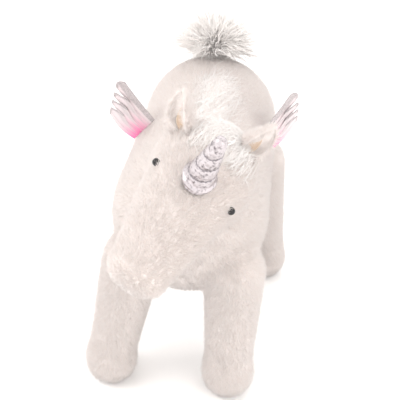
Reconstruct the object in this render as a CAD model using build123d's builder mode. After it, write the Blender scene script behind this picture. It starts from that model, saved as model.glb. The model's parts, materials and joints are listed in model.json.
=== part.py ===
"""Standing plush unicorn: a stuffed, jointed-by-softness toy made of sewn covers and fillings.

Origin: on the floor, under the middle of the toy. +Z up, the toy faces -Y, its own left is +X.
Millimetres. Covers are plush cloth shells, fillings are sealed inside them, and each limb is
a body of its own whose ball-shaped top sits in a pocket of the piece that it is sewn to.
"""
from build123d import *
from math import asin, cos, sin, pi, radians
import os

os.makedirs("parts", exist_ok=True)

# ---- cloth and clearances -------------------------------------------------------------------
plush_wall = 6.0        # backing cloth with its pile
fill_gap = 0.3          # between a cover and the filling inside it
seam_gap = 0.3          # between two panels sewn along one seam
joint_gap = 1.0         # between pieces that move against each other

# ---- torso ----------------------------------------------------------------------------------
shoulder = Vector(0, -32.7, 204)
shoulder_radius = 88.0
rump = Vector(0, 125.3, 240)
rump_radius = 83.0
belly_panel_half = 34.0     # half width of the gusset under the belly
belly_panel_top = 190.0     # the gusset is cut from the cloth below this height

# ---- legs -----------------------------------------------------------------------------------
front_hip_radius = 35.0
front_ankle_radius = 27.0
front_left_hip = Vector(57, -82.7, 166)
front_left_foot = Vector(53, -93.7, 0)
front_right_hip = Vector(-58, -82.7, 168)
front_right_foot = Vector(-87, -92.7, 0)
rear_hip_radius = 38.0
rear_ankle_radius = 26.0
rear_hip = Vector(60, 127.3, 185)
rear_foot = Vector(75, 140.3, 0)
ankle_height = 34.0
foot_radius = 30.0
foot_height = 44.0
foot_top_round = 16.0
foot_sole_round = 8.0
sole_radius = 19.0
leg_swing = 12.0

# ---- head -----------------------------------------------------------------------------------
head_centre = Vector(23.5, -98.3, 295.4)
head_yaw = -26.5        # turned to the toy's own right
head_pitch = 28.0       # muzzle down
head_roll = 31.7        # tilted to the toy's own left
skull_radius = 56.0
muzzle = Vector(0, -113, -18.6)
muzzle_radius = 32.0
centre_strip_half = 20.0    # half width of the strip sewn between the two sides of the head
head_side_play = 20.0       # room for the muzzle's end to swing

# ---- neck -----------------------------------------------------------------------------------
neck_wall = 3.7
neck_thickness = 14.0
neck_half_angle = 56.0
neck_lean = Vector(-0.12, 0.75, -0.65)      # from the head's middle into the torso

# ---- eyes -----------------------------------------------------------------------------------
eye_direction = Vector(0.805, -0.46, 0.375)
eye_radius = 4.0
eye_sink = 2.5              # depth of the eye's centre below the top of the pile
shank_radius = 1.6
shank_length = 15.0
washer_radius = 6.5
washer_thickness = 1.6
washer_depth = 9.0          # from the eye's centre to the washer's near face
eye_gap = 0.3

# ---- horn -----------------------------------------------------------------------------------
horn_base = Vector(0, -25, 50)
horn_lean = 8.0             # degrees, backwards
horn_base_radius = 15.5
horn_tip_radius = 6.0
horn_length = 74.0
horn_cloth = 1.2
binding_radius = 0.9
binding_turns = 5
binding_first = 0.14       # where the first turn lies, as a share of the horn's length
binding_pitch = 0.15       # from one turn to the next, as such a share

# ---- ears -----------------------------------------------------------------------------------
ear_left_direction = Vector(0.30, 0.75, 0.58)       # from the skull's middle to the ear's root
ear_left_lean = Vector(0.60, 0.62, 0.50)
ear_right_direction = Vector(-0.66, 0.42, 0.62)
ear_right_lean = Vector(-0.76, 0.46, 0.46)
ear_length = 37.0
ear_width = 26.0
ear_outer_thickness = 6.5
ear_lining_thickness = 3.0
ear_root_share = 0.36      # half widths, as shares of the ear's width
ear_belly_share = 0.5
ear_neck_share = 0.3
ear_belly_at = 0.45        # where they lie, as shares of its length
ear_neck_at = 0.85

# ---- wings ----------------------------------------------------------------------------------
wing_left_y = 51.0
wing_left_angle = 66.0      # from the top of the back, round to the side
wing_left_lean = Vector(0.43, 0.10, 0.88)
wing_left_lead = Vector(-0.32, -0.58, 0.75)     # from the wing's middle to its leading edge
wing_right_y = 28.0
wing_right_angle = -49.0
wing_right_lean = Vector(-0.65, -0.10, 0.75)
wing_right_lead = Vector(0.76, -0.17, 0.63)
wing_length = 62.0
wing_chord = 36.0
wing_lead_out = 6.0         # how far the leading edge leans out at its end
wing_trail_out = 8.0
wing_trail_share = 0.58     # length of the trailing edge, as a share of the leading one
wing_layer = 1.1
wing_core = 0.9
wing_gap = 0.15
wing_scallops = 5
scallop_bulge = 0.35        # height of each scallop, as a share of its chord

# ---- tail, mane and forelock ------------------------------------------------------------------
tail_angle = 22.0           # from straight up, tilted backwards
tail_sink = 8.0             # depth of its pivot below the rump's surface
tail_radius = 14.0
tail_end_radius = 13.0
tail_stub = 20.0
tail_wag = 20.0
plume_radius = 26.0
plume_length = 60.0
plume_belly_at = 0.5        # where the plume is widest, as a share of its length
plume_crown_share = 0.45    # its half width near the top, as a share of its radius
plume_crown_at = 0.96
tuft_height = 8.0
tuft_gap = 0.2
mane_half_width = 14.0
mane_front = -52.7
mane_back = 87.3
forelock_half_width = 9.0
forelock_front = 2.0
forelock_back = 46.0

head_place = (
    Location(head_centre)
    * Location((0, 0, 0), (0, 0, head_yaw))
    * Location((0, 0, 0), (head_pitch, 0, 0))
    * Location((0, 0, 0), (0, head_roll, 0))
)


def finish(piece, name):
    """Label a finished piece and write it."""
    piece.label = name
    export_step(piece, f"parts/{name}.step")


def square_to(direction):
    """A unit vector square to direction, level where it can be."""
    guide = Vector(0, 0, 1) if abs(direction.normalized().Z) < 0.9 else Vector(1, 0, 0)
    return guide.cross(direction).normalized()


def axis_plane(start, direction):
    """The plane whose Y runs along direction, for a profile that is revolved about it."""
    side = square_to(direction)
    return Plane(origin=start, x_dir=side, z_dir=side.cross(direction))


def ball_cone(start, start_radius, end, end_radius, grow=0.0):
    """A ball at each end and the cone that touches both, as one revolved solid."""
    along = end - start
    first = start_radius + grow
    last = end_radius + grow
    slope = asin((first - last) / along.length)
    with BuildPart(mode=Mode.PRIVATE) as form:
        with BuildSketch(axis_plane(start, along)):
            with BuildLine():
                low = ThreePointArc(
                    (0, -first),
                    (first * cos((slope - pi / 2) / 2), first * sin((slope - pi / 2) / 2)),
                    (first * cos(slope), first * sin(slope)),
                )
                high = ThreePointArc(
                    (last * cos(slope), along.length + last * sin(slope)),
                    (
                        last * cos((slope + pi / 2) / 2),
                        along.length + last * sin((slope + pi / 2) / 2),
                    ),
                    (0, along.length + last),
                )
                Line(low @ 1, high @ 0)
                Line(high @ 1, low @ 0)
            make_face()
        revolve(axis=Axis(start, along))
    return form.part


def ball(centre, radius):
    """A plain ball."""
    with BuildPart(Plane(origin=centre), mode=Mode.PRIVATE) as form:
        Sphere(radius)
    return form.part


def shell_sector(centre, direction, inner, outer, half_angle):
    """The part of a thick round shell that lies within half_angle of a direction."""
    edge = radians(half_angle)
    with BuildPart(mode=Mode.PRIVATE) as form:
        with BuildSketch(axis_plane(centre, direction)):
            with BuildLine():
                near = ThreePointArc(
                    (0, inner),
                    (inner * sin(edge / 2), inner * cos(edge / 2)),
                    (inner * sin(edge), inner * cos(edge)),
                )
                far = ThreePointArc(
                    (outer * sin(edge), outer * cos(edge)),
                    (outer * sin(edge / 2), outer * cos(edge / 2)),
                    (0, outer),
                )
                Line(near @ 1, far @ 0)
                Line(far @ 1, near @ 0)
            make_face()
        revolve(axis=Axis(centre, direction))
    return form.part


def slab(low, high):
    """A box between two corners, for cutting panels apart."""
    middle = (Vector(*low) + Vector(*high)) * 0.5
    size = Vector(*high) - Vector(*low)
    with BuildPart(Plane(origin=middle), mode=Mode.PRIVATE) as form:
        Box(abs(size.X), abs(size.Y), abs(size.Z))
    return form.part


# ---- shared forms -----------------------------------------------------------------------------
def torso_form(grow):
    """The torso's outer form, grown or shrunk."""
    return ball_cone(shoulder, shoulder_radius, rump, rump_radius, grow)


def leg_shank(hip, foot, hip_radius, ankle_radius, grow):
    """A leg without its foot."""
    ankle = Vector(foot.X, foot.Y, ankle_height)
    return ball_cone(hip, hip_radius, ankle, ankle_radius, grow)


def foot_form(foot, grow):
    """A foot: an upright drum with soft edges, flat underneath."""
    radius = foot_radius + grow
    height = foot_height + 2 * grow
    with BuildPart(Plane(origin=(foot.X, foot.Y, -grow)), mode=Mode.PRIVATE) as form:
        Cylinder(radius, height, align=(Align.CENTER, Align.CENTER, Align.MIN))
        rims = form.edges().filter_by(GeomType.CIRCLE).sort_by(Axis.Z)
        fillet(rims[-1], foot_top_round + grow)
        fillet(form.edges().filter_by(GeomType.CIRCLE).sort_by(Axis.Z)[0], foot_sole_round + grow)
    return form.part


legs = {
    "front_left": (front_left_hip, front_left_foot, front_hip_radius, front_ankle_radius),
    "front_right": (front_right_hip, front_right_foot, front_hip_radius, front_ankle_radius),
    "rear_left": (rear_hip, rear_foot, rear_hip_radius, rear_ankle_radius),
    "rear_right": (
        Vector(-rear_hip.X, rear_hip.Y, rear_hip.Z),
        Vector(-rear_foot.X, rear_foot.Y, 0),
        rear_hip_radius,
        rear_ankle_radius,
    ),
}

# Each pocket flares downwards, so that the leg can swing inside it.
leg_pockets = []
for hip, foot, hip_radius, ankle_radius in legs.values():
    ankle = Vector(foot.X, foot.Y, ankle_height)
    swing_room = (ankle - hip).length * sin(radians(leg_swing))
    leg_pockets.append(
        ball_cone(hip, hip_radius, ankle, ankle_radius + swing_room, joint_gap)
    )

# The head's end of the neck, the pocket in the torso and the room that the muzzle needs.
muzzle_end = (head_place * Location(muzzle)).position
neck_inner = skull_radius + joint_gap
neck_outer = neck_inner + neck_thickness
head_pocket = ball_cone(
    head_centre,
    neck_outer + joint_gap,
    muzzle_end,
    muzzle_radius + head_side_play,
)

tail_direction = Vector(0, sin(radians(tail_angle)), cos(radians(tail_angle)))
tail_pivot = rump + tail_direction * (rump_radius - tail_sink)
tail_pocket = ball_cone(
    tail_pivot,
    tail_radius + joint_gap,
    tail_pivot + tail_direction * tail_stub,
    tail_radius + joint_gap + tail_stub * sin(radians(tail_wag)),
)

torso_pockets = leg_pockets + [head_pocket, tail_pocket]

# ---- torso ------------------------------------------------------------------------------------
reach = 400.0
gusset_box = slab((-belly_panel_half, -reach, 0), (belly_panel_half, reach, belly_panel_top))
gusset_cut = slab(
    (-belly_panel_half - seam_gap, -reach, 0),
    (belly_panel_half + seam_gap, reach, belly_panel_top + seam_gap),
)
with BuildPart() as torso_shell:
    add(torso_form(0))
    add(torso_form(-plush_wall), mode=Mode.SUBTRACT)

for side, name in ((1, "torso_cover_left"), (-1, "torso_cover_right")):
    with BuildPart() as torso_cover:
        add(torso_shell.part)
        add(slab((0, -reach, 0), (side * reach, reach, reach)), mode=Mode.INTERSECT)
        add(gusset_cut, mode=Mode.SUBTRACT)
        for pocket in torso_pockets:
            add(pocket, mode=Mode.SUBTRACT)
    finish(torso_cover.part, name)

with BuildPart() as belly_gusset:
    add(torso_shell.part)
    add(gusset_box, mode=Mode.INTERSECT)
    for pocket in torso_pockets:
        add(pocket, mode=Mode.SUBTRACT)
finish(belly_gusset.part, "belly_gusset")

with BuildPart() as torso_stuffing:
    add(torso_form(-plush_wall - fill_gap))
    for pocket in torso_pockets:
        add(pocket, mode=Mode.SUBTRACT)
finish(torso_stuffing.part, "torso_stuffing")

# ---- mane: a strip of long pile along the back, standing on the torso's cover -------------------
with BuildPart() as mane:
    add(torso_form(tuft_height))
    add(torso_form(tuft_gap), mode=Mode.SUBTRACT)
    add(
        slab(
            (-mane_half_width, mane_front, shoulder.Z),
            (mane_half_width, mane_back, reach),
        ),
        mode=Mode.INTERSECT,
    )
    add(head_pocket, mode=Mode.SUBTRACT)
finish(mane.part, "mane")

# ---- legs ---------------------------------------------------------------------------------------
for name, (hip, foot, hip_radius, ankle_radius) in legs.items():
    with BuildPart() as leg_cover:
        add(leg_shank(hip, foot, hip_radius, ankle_radius, 0))
        add(foot_form(foot, 0))
        add(leg_shank(hip, foot, hip_radius, ankle_radius, -plush_wall), mode=Mode.SUBTRACT)
        add(foot_form(foot, -plush_wall), mode=Mode.SUBTRACT)
        with Locations(Vector(foot.X, foot.Y, 0)):
            Cylinder(sole_radius, 2 * plush_wall, mode=Mode.SUBTRACT)
    finish(leg_cover.part, f"leg_{name}_cover")

    with BuildPart() as leg_stuffing:
        add(leg_shank(hip, foot, hip_radius, ankle_radius, -plush_wall - fill_gap))
        add(foot_form(foot, -plush_wall - fill_gap))
    finish(leg_stuffing.part, f"leg_{name}_stuffing")

    with BuildPart(Plane(origin=foot)) as leg_sole:
        Cylinder(
            sole_radius - seam_gap,
            plush_wall,
            align=(Align.CENTER, Align.CENTER, Align.MIN),
        )
    finish(leg_sole.part, f"leg_{name}_sole")

# ---- neck: a thick cup round the back of the head ---------------------------------------------
muzzle_room = ball_cone(
    head_centre,
    neck_inner - fill_gap,
    muzzle_end,
    muzzle_radius + head_side_play,
)
with BuildPart() as neck_stuffing:
    add(
        shell_sector(
            head_centre,
            neck_lean,
            neck_inner,
            neck_outer - neck_wall - fill_gap,
            neck_half_angle,
        )
    )
    add(muzzle_room, mode=Mode.SUBTRACT)
finish(neck_stuffing.part, "neck_stuffing")

with BuildPart() as neck_cover:
    add(
        shell_sector(
            head_centre,
            neck_lean,
            neck_outer - neck_wall,
            neck_outer,
            neck_half_angle,
        )
    )
    add(muzzle_room, mode=Mode.SUBTRACT)
finish(neck_cover.part, "neck_cover")

# ---- head, made about its own middle and then set in place --------------------------------------
origin = Vector(0, 0, 0)


def head_form(grow):
    """The skull's ball and the muzzle."""
    return ball_cone(origin, skull_radius, muzzle, muzzle_radius, grow)


eye_pieces = {}
for side, name in ((1, "left"), (-1, "right")):
    outward = Vector(side * eye_direction.X, eye_direction.Y, eye_direction.Z).normalized()
    centre = outward * (skull_radius - eye_sink)
    shank_plane = Plane(origin=centre, z_dir=-outward)
    washer_plane = Plane(origin=centre - outward * washer_depth, z_dir=-outward)
    with BuildPart(shank_plane) as eye:
        Sphere(eye_radius)
        Cylinder(shank_radius, shank_length, align=(Align.CENTER, Align.CENTER, Align.MIN))
    with BuildPart(washer_plane) as washer:
        Cylinder(washer_radius, washer_thickness, align=(Align.CENTER, Align.CENTER, Align.MIN))
        Cylinder(
            shank_radius + eye_gap,
            washer_thickness,
            align=(Align.CENTER, Align.CENTER, Align.MIN),
            mode=Mode.SUBTRACT,
        )
    with BuildPart(shank_plane) as eye_room:
        Sphere(eye_radius + eye_gap)
        Cylinder(
            shank_radius + eye_gap,
            shank_length + eye_gap,
            align=(Align.CENTER, Align.CENTER, Align.MIN),
        )
    with BuildPart(washer_plane.offset(-eye_gap)) as washer_room:
        Cylinder(
            washer_radius + eye_gap,
            washer_thickness + 2 * eye_gap,
            align=(Align.CENTER, Align.CENTER, Align.MIN),
        )
    eye_pieces[name] = (eye.part, washer.part, eye_room.part, washer_room.part)

# The horn's cone, along its own lean, sits on the forehead over a round hole in the cloth.
horn_up = Vector(0, sin(radians(horn_lean)), cos(radians(horn_lean)))
horn_foot = horn_base.normalized() * (skull_radius + fill_gap)


def horn_form(shrink, foot_lift):
    """The horn: a cone with a ball for its tip, its foot open to the forehead."""
    slope = asin((horn_base_radius - horn_tip_radius) / horn_length)
    tip = horn_tip_radius - shrink
    side = Plane(origin=horn_foot, x_dir=(1, 0, 0), z_dir=Vector(1, 0, 0).cross(horn_up))
    with BuildPart(mode=Mode.PRIVATE) as form:
        with BuildSketch(side):
            with BuildLine():
                crown = ThreePointArc(
                    (tip * cos(slope), horn_length - horn_tip_radius + tip * sin(slope)),
                    (
                        tip * cos((slope + pi / 2) / 2),
                        horn_length - horn_tip_radius + tip * sin((slope + pi / 2) / 2),
                    ),
                    (0, horn_length - horn_tip_radius + tip),
                )
                Polyline(
                    crown @ 1,
                    (0, -skull_radius / 2),
                    (horn_base_radius - shrink, -skull_radius / 2),
                    (horn_base_radius - shrink, 0),
                    crown @ 0,
                )
            make_face()
        revolve(axis=Axis(horn_foot, horn_up))
        add(head_form(foot_lift), mode=Mode.SUBTRACT)
    return form.part


with BuildPart() as horn_cover:
    add(horn_form(0, fill_gap))
    add(horn_form(horn_cloth, 0), mode=Mode.SUBTRACT)

with BuildPart() as horn_stuffing:
    add(horn_form(horn_cloth + fill_gap, fill_gap))

# ---- the head's cloth: two sides and the strip between them -------------------------------------
with BuildPart() as head_shell:
    add(head_form(0))
    add(head_form(-plush_wall), mode=Mode.SUBTRACT)
    for _, _, eye_room, _ in eye_pieces.values():
        add(eye_room, mode=Mode.SUBTRACT)

strip_box = slab((-centre_strip_half, -reach, -reach), (centre_strip_half, reach, reach))
for side, name in ((1, "head_side_left"), (-1, "head_side_right")):
    edge = centre_strip_half + seam_gap
    with BuildPart() as head_side:
        add(head_shell.part)
        add(slab((side * edge, -reach, -reach), (side * reach, reach, reach)), mode=Mode.INTERSECT)
    finish(head_side.part.moved(head_place), name)

with BuildPart() as head_strip:
    add(head_shell.part)
    add(strip_box, mode=Mode.INTERSECT)
finish(head_strip.part.moved(head_place), "head_centre_strip")

with BuildPart() as head_stuffing:
    add(head_form(-plush_wall - fill_gap))
    for _, _, eye_room, washer_room in eye_pieces.values():
        add(eye_room, mode=Mode.SUBTRACT)
        add(washer_room, mode=Mode.SUBTRACT)
finish(head_stuffing.part.moved(head_place), "head_stuffing")

for name, (eye, washer, _, _) in eye_pieces.items():
    finish(eye.moved(head_place), f"eye_{name}")
    finish(washer.moved(head_place), f"eye_{name}_washer")

finish(horn_cover.part.moved(head_place), "horn_cover")
finish(horn_stuffing.part.moved(head_place), "horn_stuffing")

# The silver thread wound round the horn, as one ring for each turn.
binding_rings = []
for turn in range(binding_turns):
    height = horn_length * (binding_first + binding_pitch * turn)
    share = height / (horn_length - horn_tip_radius)
    radius = horn_base_radius + (horn_tip_radius - horn_base_radius) * share
    with BuildPart(Plane(origin=horn_foot + horn_up * height, z_dir=horn_up)) as ring:
        Torus(radius + binding_radius + tuft_gap, binding_radius)
    binding_rings.append(ring.part.moved(head_place))
finish(Compound(children=binding_rings), "horn_binding")

# ---- forelock: long pile on the poll, between the ears -------------------------------------------
with BuildPart() as forelock:
    add(ball(origin, skull_radius + tuft_height))
    add(ball(origin, skull_radius + tuft_gap), mode=Mode.SUBTRACT)
    add(
        slab(
            (-forelock_half_width, forelock_front, 0),
            (forelock_half_width, forelock_back, reach),
        ),
        mode=Mode.INTERSECT,
    )
finish(forelock.part.moved(head_place), "forelock")

# ---- ears: two leaf-shaped layers with a straight root ------------------------------------------
ear_total = ear_outer_thickness + seam_gap + ear_lining_thickness


def blade_plane(foot, along, face, thickness):
    """A plane whose Y runs along a blade, set back so that the blade is centred on foot."""
    across = along.cross(face).normalized()
    normal = across.cross(along).normalized()
    return Plane(origin=foot - normal * (thickness / 2), x_dir=across, z_dir=normal)


def leaf(plane, width, length, thickness):
    """A leaf-shaped layer with a straight root and a round tip."""
    root_half = width * ear_root_share
    belly_half = width * ear_belly_share
    neck_half = width * ear_neck_share
    belly = length * ear_belly_at
    neck = length * ear_neck_at
    with BuildPart(mode=Mode.PRIVATE) as form:
        with BuildSketch(plane):
            with BuildLine():
                one_side = ThreePointArc(
                    (root_half, 0),
                    (belly_half, belly),
                    (neck_half, neck),
                )
                tip = ThreePointArc(one_side @ 1, (0, length), (-neck_half, neck))
                other_side = ThreePointArc(tip @ 1, (-belly_half, belly), (-root_half, 0))
                Line(other_side @ 1, one_side @ 0)
            make_face()
        extrude(amount=thickness)
    return form.part


ears = {
    "left": (ear_left_direction, ear_left_lean),
    "right": (ear_right_direction, ear_right_lean),
}
for name, (direction, lean) in ears.items():
    foot = direction.normalized() * (skull_radius + joint_gap + ear_total / 2)
    ear_plane = blade_plane(foot, lean.normalized(), Vector(0, -1, 0), ear_total)
    outer = leaf(ear_plane, ear_width, ear_length, ear_outer_thickness)
    lining_plane = ear_plane.offset(ear_outer_thickness + seam_gap)
    lining = leaf(lining_plane, ear_width, ear_length, ear_lining_thickness)
    finish(outer.moved(head_place), f"ear_{name}_outer")
    finish(lining.moved(head_place), f"ear_{name}_lining")
    hinge = head_place * Location(foot)
    across = (head_place * Location(foot + ear_plane.x_dir)).position - hinge.position
    print("ear", name, hinge.position, across)

# ---- wings: two faces of shiny cloth with a stiff core between them -------------------------------
wing_total = 2 * wing_layer + wing_core + 2 * wing_gap


def wing_blade(plane, thickness):
    """A fan with a straight root, a bowed leading edge and a scalloped end."""
    half = wing_chord / 2
    lead = Vector(-half - wing_lead_out, wing_length)
    trail = Vector(half + wing_trail_out, wing_length * wing_trail_share)
    with BuildPart(mode=Mode.PRIVATE) as form:
        with BuildSketch(plane):
            with BuildLine():
                ThreePointArc((-half, 0), (-half - wing_lead_out, wing_length / 2), lead)
                corner = lead
                for scallop in range(wing_scallops):
                    start = corner
                    corner = lead + (trail - lead) * ((scallop + 1) / wing_scallops)
                    step = corner - start
                    bulge = Vector(-step.Y, step.X) * scallop_bulge
                    ThreePointArc(start, (start + corner) * 0.5 + bulge, corner)
                ThreePointArc(trail, (half + wing_trail_out / 2, wing_length / 4), (half, 0))
                Line((half, 0), (-half, 0))
            make_face()
        extrude(amount=thickness)
    return form.part


wings = {
    "left": (wing_left_y, wing_left_angle, wing_left_lean, wing_left_lead),
    "right": (wing_right_y, wing_right_angle, wing_right_lean, wing_right_lead),
}
for name, (along_back, angle, lean, lead) in wings.items():
    along_torso = (along_back - shoulder.Y) / (rump.Y - shoulder.Y)
    middle = shoulder + (rump - shoulder) * along_torso
    radius = shoulder_radius + (rump_radius - shoulder_radius) * along_torso
    outward = Vector(sin(radians(angle)), 0, cos(radians(angle)))
    trailing = (outward * lead.dot(outward) - lead).normalized()
    along = (lean - trailing * lean.dot(trailing)).normalized()
    normal = trailing.cross(along)
    foot = middle + outward * (radius + joint_gap + wing_total / 2)
    wing_plane = Plane(origin=foot - normal * (wing_total / 2), x_dir=trailing, z_dir=normal)
    core_plane = wing_plane.offset(wing_layer + wing_gap)
    last_plane = core_plane.offset(wing_core + wing_gap)
    layers = ["back", "front"] if normal.Y < 0 else ["front", "back"]
    finish(wing_blade(wing_plane, wing_layer), f"wing_{name}_{layers[0]}")
    finish(wing_blade(core_plane, wing_core), f"wing_{name}_core")
    finish(wing_blade(last_plane, wing_layer), f"wing_{name}_{layers[1]}")
    print("wing", name, foot, trailing)

# ---- tail: a short stuffed stub with a plume of long pile ------------------------------------------
def tail_form(grow):
    """The stub's outer form, grown or shrunk."""
    tail_end = tail_pivot + tail_direction * tail_stub
    return ball_cone(tail_pivot, tail_radius, tail_end, tail_end_radius, grow)


with BuildPart() as tail_cover:
    add(tail_form(0))
    add(tail_form(-plush_wall), mode=Mode.SUBTRACT)
finish(tail_cover.part, "tail_cover")

with BuildPart() as tail_stuffing:
    add(tail_form(-plush_wall - fill_gap))
finish(tail_stuffing.part, "tail_stuffing")

plume_foot = tail_pivot + tail_direction * (tail_radius + 2 * joint_gap)
with BuildPart() as tail_plume:
    with BuildSketch(axis_plane(plume_foot, tail_direction)):
        with BuildLine():
            flare = Spline(
                (tail_radius, 0),
                (plume_radius, plume_length * plume_belly_at),
                (plume_radius * plume_crown_share, plume_length * plume_crown_at),
                tangents=((0.7, 1), (-1, 0.4)),
            )
            top = Line(flare @ 1, (0, plume_length))
            Line(top @ 1, (0, 0))
            Line((0, 0), flare @ 0)
        make_face()
    revolve(axis=Axis(plume_foot, tail_direction))
    add(tail_form(tuft_gap), mode=Mode.SUBTRACT)
finish(tail_plume.part, "tail_plume")
print("tail", tail_pivot, "muzzle", muzzle_end)
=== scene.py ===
"""Standing plush unicorn: sewn white plush over fibre filling, silver horn, small wings, mane and tail.

Metres, +Z up, the toy faces -Y and its own left is +X. The file goes through the toy in the order in
which it is put together: the place it stands, the torso, legs, neck and head, then eyes, horn, ears,
tail, mane and wings.
"""
import json
import bmesh
import bpy
import numpy as np
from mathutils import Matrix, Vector


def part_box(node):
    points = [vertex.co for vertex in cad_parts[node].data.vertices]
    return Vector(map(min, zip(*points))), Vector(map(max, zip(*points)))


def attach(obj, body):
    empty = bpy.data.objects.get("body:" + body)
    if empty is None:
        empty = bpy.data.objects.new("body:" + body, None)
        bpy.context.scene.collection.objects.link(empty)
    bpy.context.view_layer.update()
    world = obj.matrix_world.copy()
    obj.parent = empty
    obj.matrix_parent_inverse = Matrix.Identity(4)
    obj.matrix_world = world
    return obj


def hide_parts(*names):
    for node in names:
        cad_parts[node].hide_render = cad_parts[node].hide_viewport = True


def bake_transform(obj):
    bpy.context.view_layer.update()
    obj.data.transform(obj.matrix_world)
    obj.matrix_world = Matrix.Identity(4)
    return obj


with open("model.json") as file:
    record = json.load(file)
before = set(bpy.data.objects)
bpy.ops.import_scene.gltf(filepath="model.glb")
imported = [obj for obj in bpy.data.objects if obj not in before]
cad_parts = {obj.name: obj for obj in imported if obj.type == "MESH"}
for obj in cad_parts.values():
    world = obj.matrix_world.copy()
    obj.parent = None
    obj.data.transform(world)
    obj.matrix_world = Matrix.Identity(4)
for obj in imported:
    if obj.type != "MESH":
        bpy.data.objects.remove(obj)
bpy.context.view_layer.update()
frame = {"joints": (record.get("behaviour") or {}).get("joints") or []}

joints = {joint["name"]: joint for joint in frame["joints"]}
rng = np.random.default_rng(7)

# ---- The place it stands --------------------------------------------------------------------------
# A seamless white floor under broad soft lights, as in a catalogue picture: the main light is high on the
# left, one behind lifts the back and the tail, and a weak one fills the right side.
view_azimuth = np.radians(8.9)
view_height = np.radians(32.45)
view_distance = 0.945
view_target = Vector((0.0045, 0.0064, 0.1967))
lens_mm = 72.4
floor_half = 4.0


def look(place, target):
    """Euler angles that turn an object's -Z from place towards target."""
    return (Vector(target) - Vector(place)).to_track_quat("-Z", "Y").to_euler()


def plain_material(name, colour, roughness=0.8, metallic=0.0, sheen=0.0):
    """One Principled material with constant values."""
    material = bpy.data.materials.new(name)
    material.use_nodes = True
    shader = material.node_tree.nodes["Principled BSDF"]
    shader.inputs["Base Color"].default_value = (*colour, 1.0)
    shader.inputs["Roughness"].default_value = roughness
    shader.inputs["Metallic"].default_value = metallic
    shader.inputs["Sheen Weight"].default_value = sheen
    return material


def node(material, kind, **values):
    """One more shader node of a kind, with values for its inputs (To_Min stands for To Min)."""
    made = material.node_tree.nodes.new(kind)
    for label, value in values.items():
        made.inputs[label.replace("_", " ")].default_value = value
    return made


def join(material, start, output, end, label):
    """A link from one node's output to another's input."""
    material.node_tree.links.new(start.outputs[output], end.inputs[label])


def texture(material, kind, **values):
    """A texture node that reads the object's own coordinates."""
    made = node(material, kind, **values)
    join(material, node(material, "ShaderNodeTexCoord"), "Object", made, "Vector")
    return made


def bumped(material, source, output, strength, distance):
    """Raises the surface by a texture's value."""
    bump = node(material, "ShaderNodeBump", Strength=strength, Distance=distance)
    join(material, source, output, bump, "Height")
    join(material, bump, "Normal", material.node_tree.nodes["Principled BSDF"], "Normal")


def soft_light(name, place, target, size, watts, colour):
    """A square area light."""
    lamp = bpy.data.lights.new(name, "AREA")
    lamp.size = size
    lamp.energy = watts
    lamp.color = colour
    holder = bpy.data.objects.new(name, lamp)
    holder.location = place
    holder.rotation_euler = look(place, target)
    bpy.context.scene.collection.objects.link(holder)


camera = bpy.data.objects.new("camera", bpy.data.cameras.new("camera"))
camera.data.lens = lens_mm
camera.data.sensor_width = 36.0
back = Vector((
    np.sin(view_azimuth) * np.cos(view_height),
    -np.cos(view_azimuth) * np.cos(view_height),
    np.sin(view_height),
))
camera.location = view_target + back * view_distance
camera.rotation_euler = look(camera.location, view_target)
bpy.context.scene.collection.objects.link(camera)
bpy.context.scene.camera = camera
bpy.context.scene.view_settings.view_transform = "Standard"

floor_mesh = bpy.data.meshes.new("floor")
floor_mesh.from_pydata(
    [(x * floor_half, y * floor_half, 0.0) for x, y in ((-1, -1), (1, -1), (1, 1), (-1, 1))],
    [],
    [(0, 1, 2, 3)],
)
floor = bpy.data.objects.new("floor", floor_mesh)
floor.data.materials.append(plain_material("floor_white", (0.98, 0.98, 0.98), 0.9))
bpy.context.scene.collection.objects.link(floor)

world = bpy.data.worlds.new("studio")
world.use_nodes = True
world.node_tree.nodes["Background"].inputs["Color"].default_value = (1.0, 0.98, 0.965, 1.0)
world.node_tree.nodes["Background"].inputs["Strength"].default_value = 1.36
bpy.context.scene.world = world
soft_light("main_light", (-1.7, -0.7, 1.8), (0.0, 0.0, 0.15), 1.4, 22.0, (1.0, 0.96, 0.93))
soft_light("back_light", (0.2, 1.6, 1.8), (0.0, 0.1, 0.25), 1.4, 9.0, (1.0, 0.97, 0.95))
soft_light("fill_light", (1.6, -1.4, 1.2), (0.0, 0.0, 0.15), 1.8, 14.0, (1.0, 0.93, 0.88))

# ---- The stuffed form ---------------------------------------------------------------------------------
# Filling presses the sewn cloth into one smooth outer form: a barrel of a torso, four legs, a short neck and
# the head run into each other over soft creases. Every cloth panel below is laid on this form.
pile_depth = 0.005          # the cloth lies this far below the pile's outer surface
crease = 0.016              # how widely two stuffed parts run into each other

shoulder = np.array([0.0, -0.0327, 0.204])
rump = np.array([0.0, 0.1253, 0.240])
shoulder_radius = 0.088 - pile_depth
rump_radius = 0.083 - pile_depth

ankle_height = 0.034
leg_sizes = {
    "front_left": (0.035, 0.028),
    "front_right": (0.035, 0.028),
    "rear_left": (0.038, 0.027),
    "rear_right": (0.038, 0.027),
}
foot_radius = 0.0305 - pile_depth
legs = {}
for leg_name, (hip_radius, ankle_radius) in leg_sizes.items():
    low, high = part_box(f"leg_{leg_name}_sole")
    foot = np.array([(low.x + high.x) / 2, (low.y + high.y) / 2, 0.0])
    hip = np.array(joints[f"leg_{leg_name}_swing"]["pos_m"])
    legs[leg_name] = (hip, foot, hip_radius - pile_depth, ankle_radius - pile_depth)

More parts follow.
